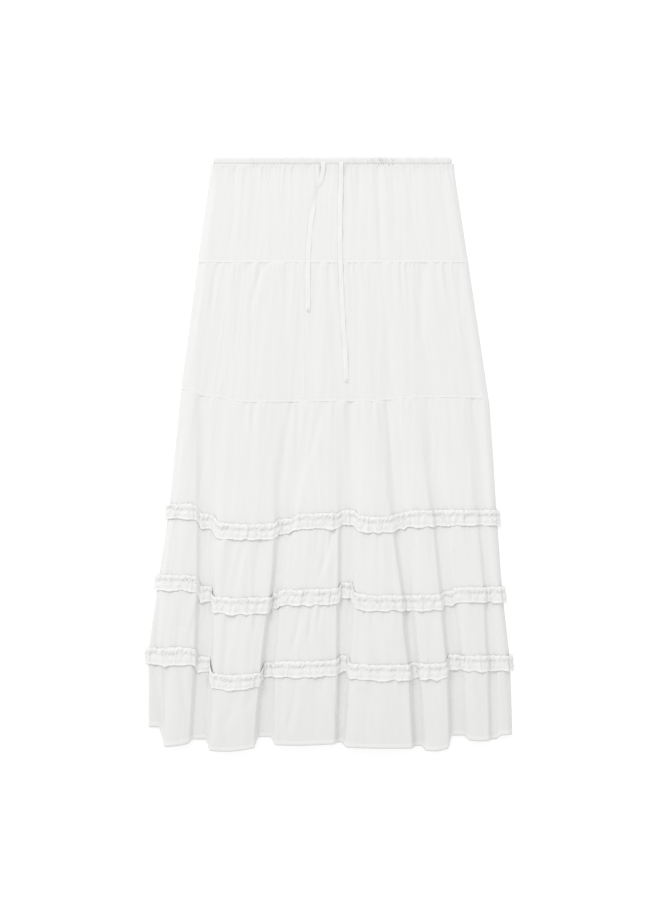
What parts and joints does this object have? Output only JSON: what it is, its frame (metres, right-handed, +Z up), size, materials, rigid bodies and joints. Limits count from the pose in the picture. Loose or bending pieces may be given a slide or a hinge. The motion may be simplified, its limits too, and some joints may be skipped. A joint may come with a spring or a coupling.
{
  "type": "tiered ruffle skirt",
  "caption": "Long tiered cotton skirt laid flat, with a drawstring waist casing, gathered tiers, ruffle strips over the lower seams and soft folds to the hem.",
  "frame": {"origin": "bottom centre of the skirt's box, on the surface that it lies on", "axes": "+X across the skirt to the viewer's right, +Y along its length from the hem to the waist, +Z up off the surface, out of its front"},
  "size_m": [0.528, 0.853, 0.0192],
  "materials": {
    "crinkle_cotton": "white crinkled cotton voile, matt",
    "ruffle_cotton": "white cotton voile, gathered into frills, matt",
    "casing_cotton": "white cotton voile, folded and puckered, matt",
    "tie_cotton": "white cotton voile, folded and stitched flat, matt"
  },
  "bodies": {
    "root": {"tier_1_front": "crinkle_cotton", "tier_1_back": "crinkle_cotton", "tier_2_front": "crinkle_cotton", "tier_2_back": "crinkle_cotton", "tier_3_front": "crinkle_cotton", "tier_3_back": "crinkle_cotton", "tier_4_front": "crinkle_cotton", "tier_4_back": "crinkle_cotton", "tier_5_front": "crinkle_cotton", "tier_5_back": "crinkle_cotton", "tier_6_front": "crinkle_cotton", "tier_6_back": "crinkle_cotton", "ruffle_1_front": "ruffle_cotton", "ruffle_1_back": "ruffle_cotton", "ruffle_2_front": "ruffle_cotton", "ruffle_2_back": "ruffle_cotton", "ruffle_3_front": "ruffle_cotton", "ruffle_3_back": "ruffle_cotton", "waist_casing_front": "casing_cotton", "waist_casing_back": "casing_cotton", "drawstring_left": "tie_cotton", "drawstring_right": "tie_cotton"}
  },
  "joints": []
}
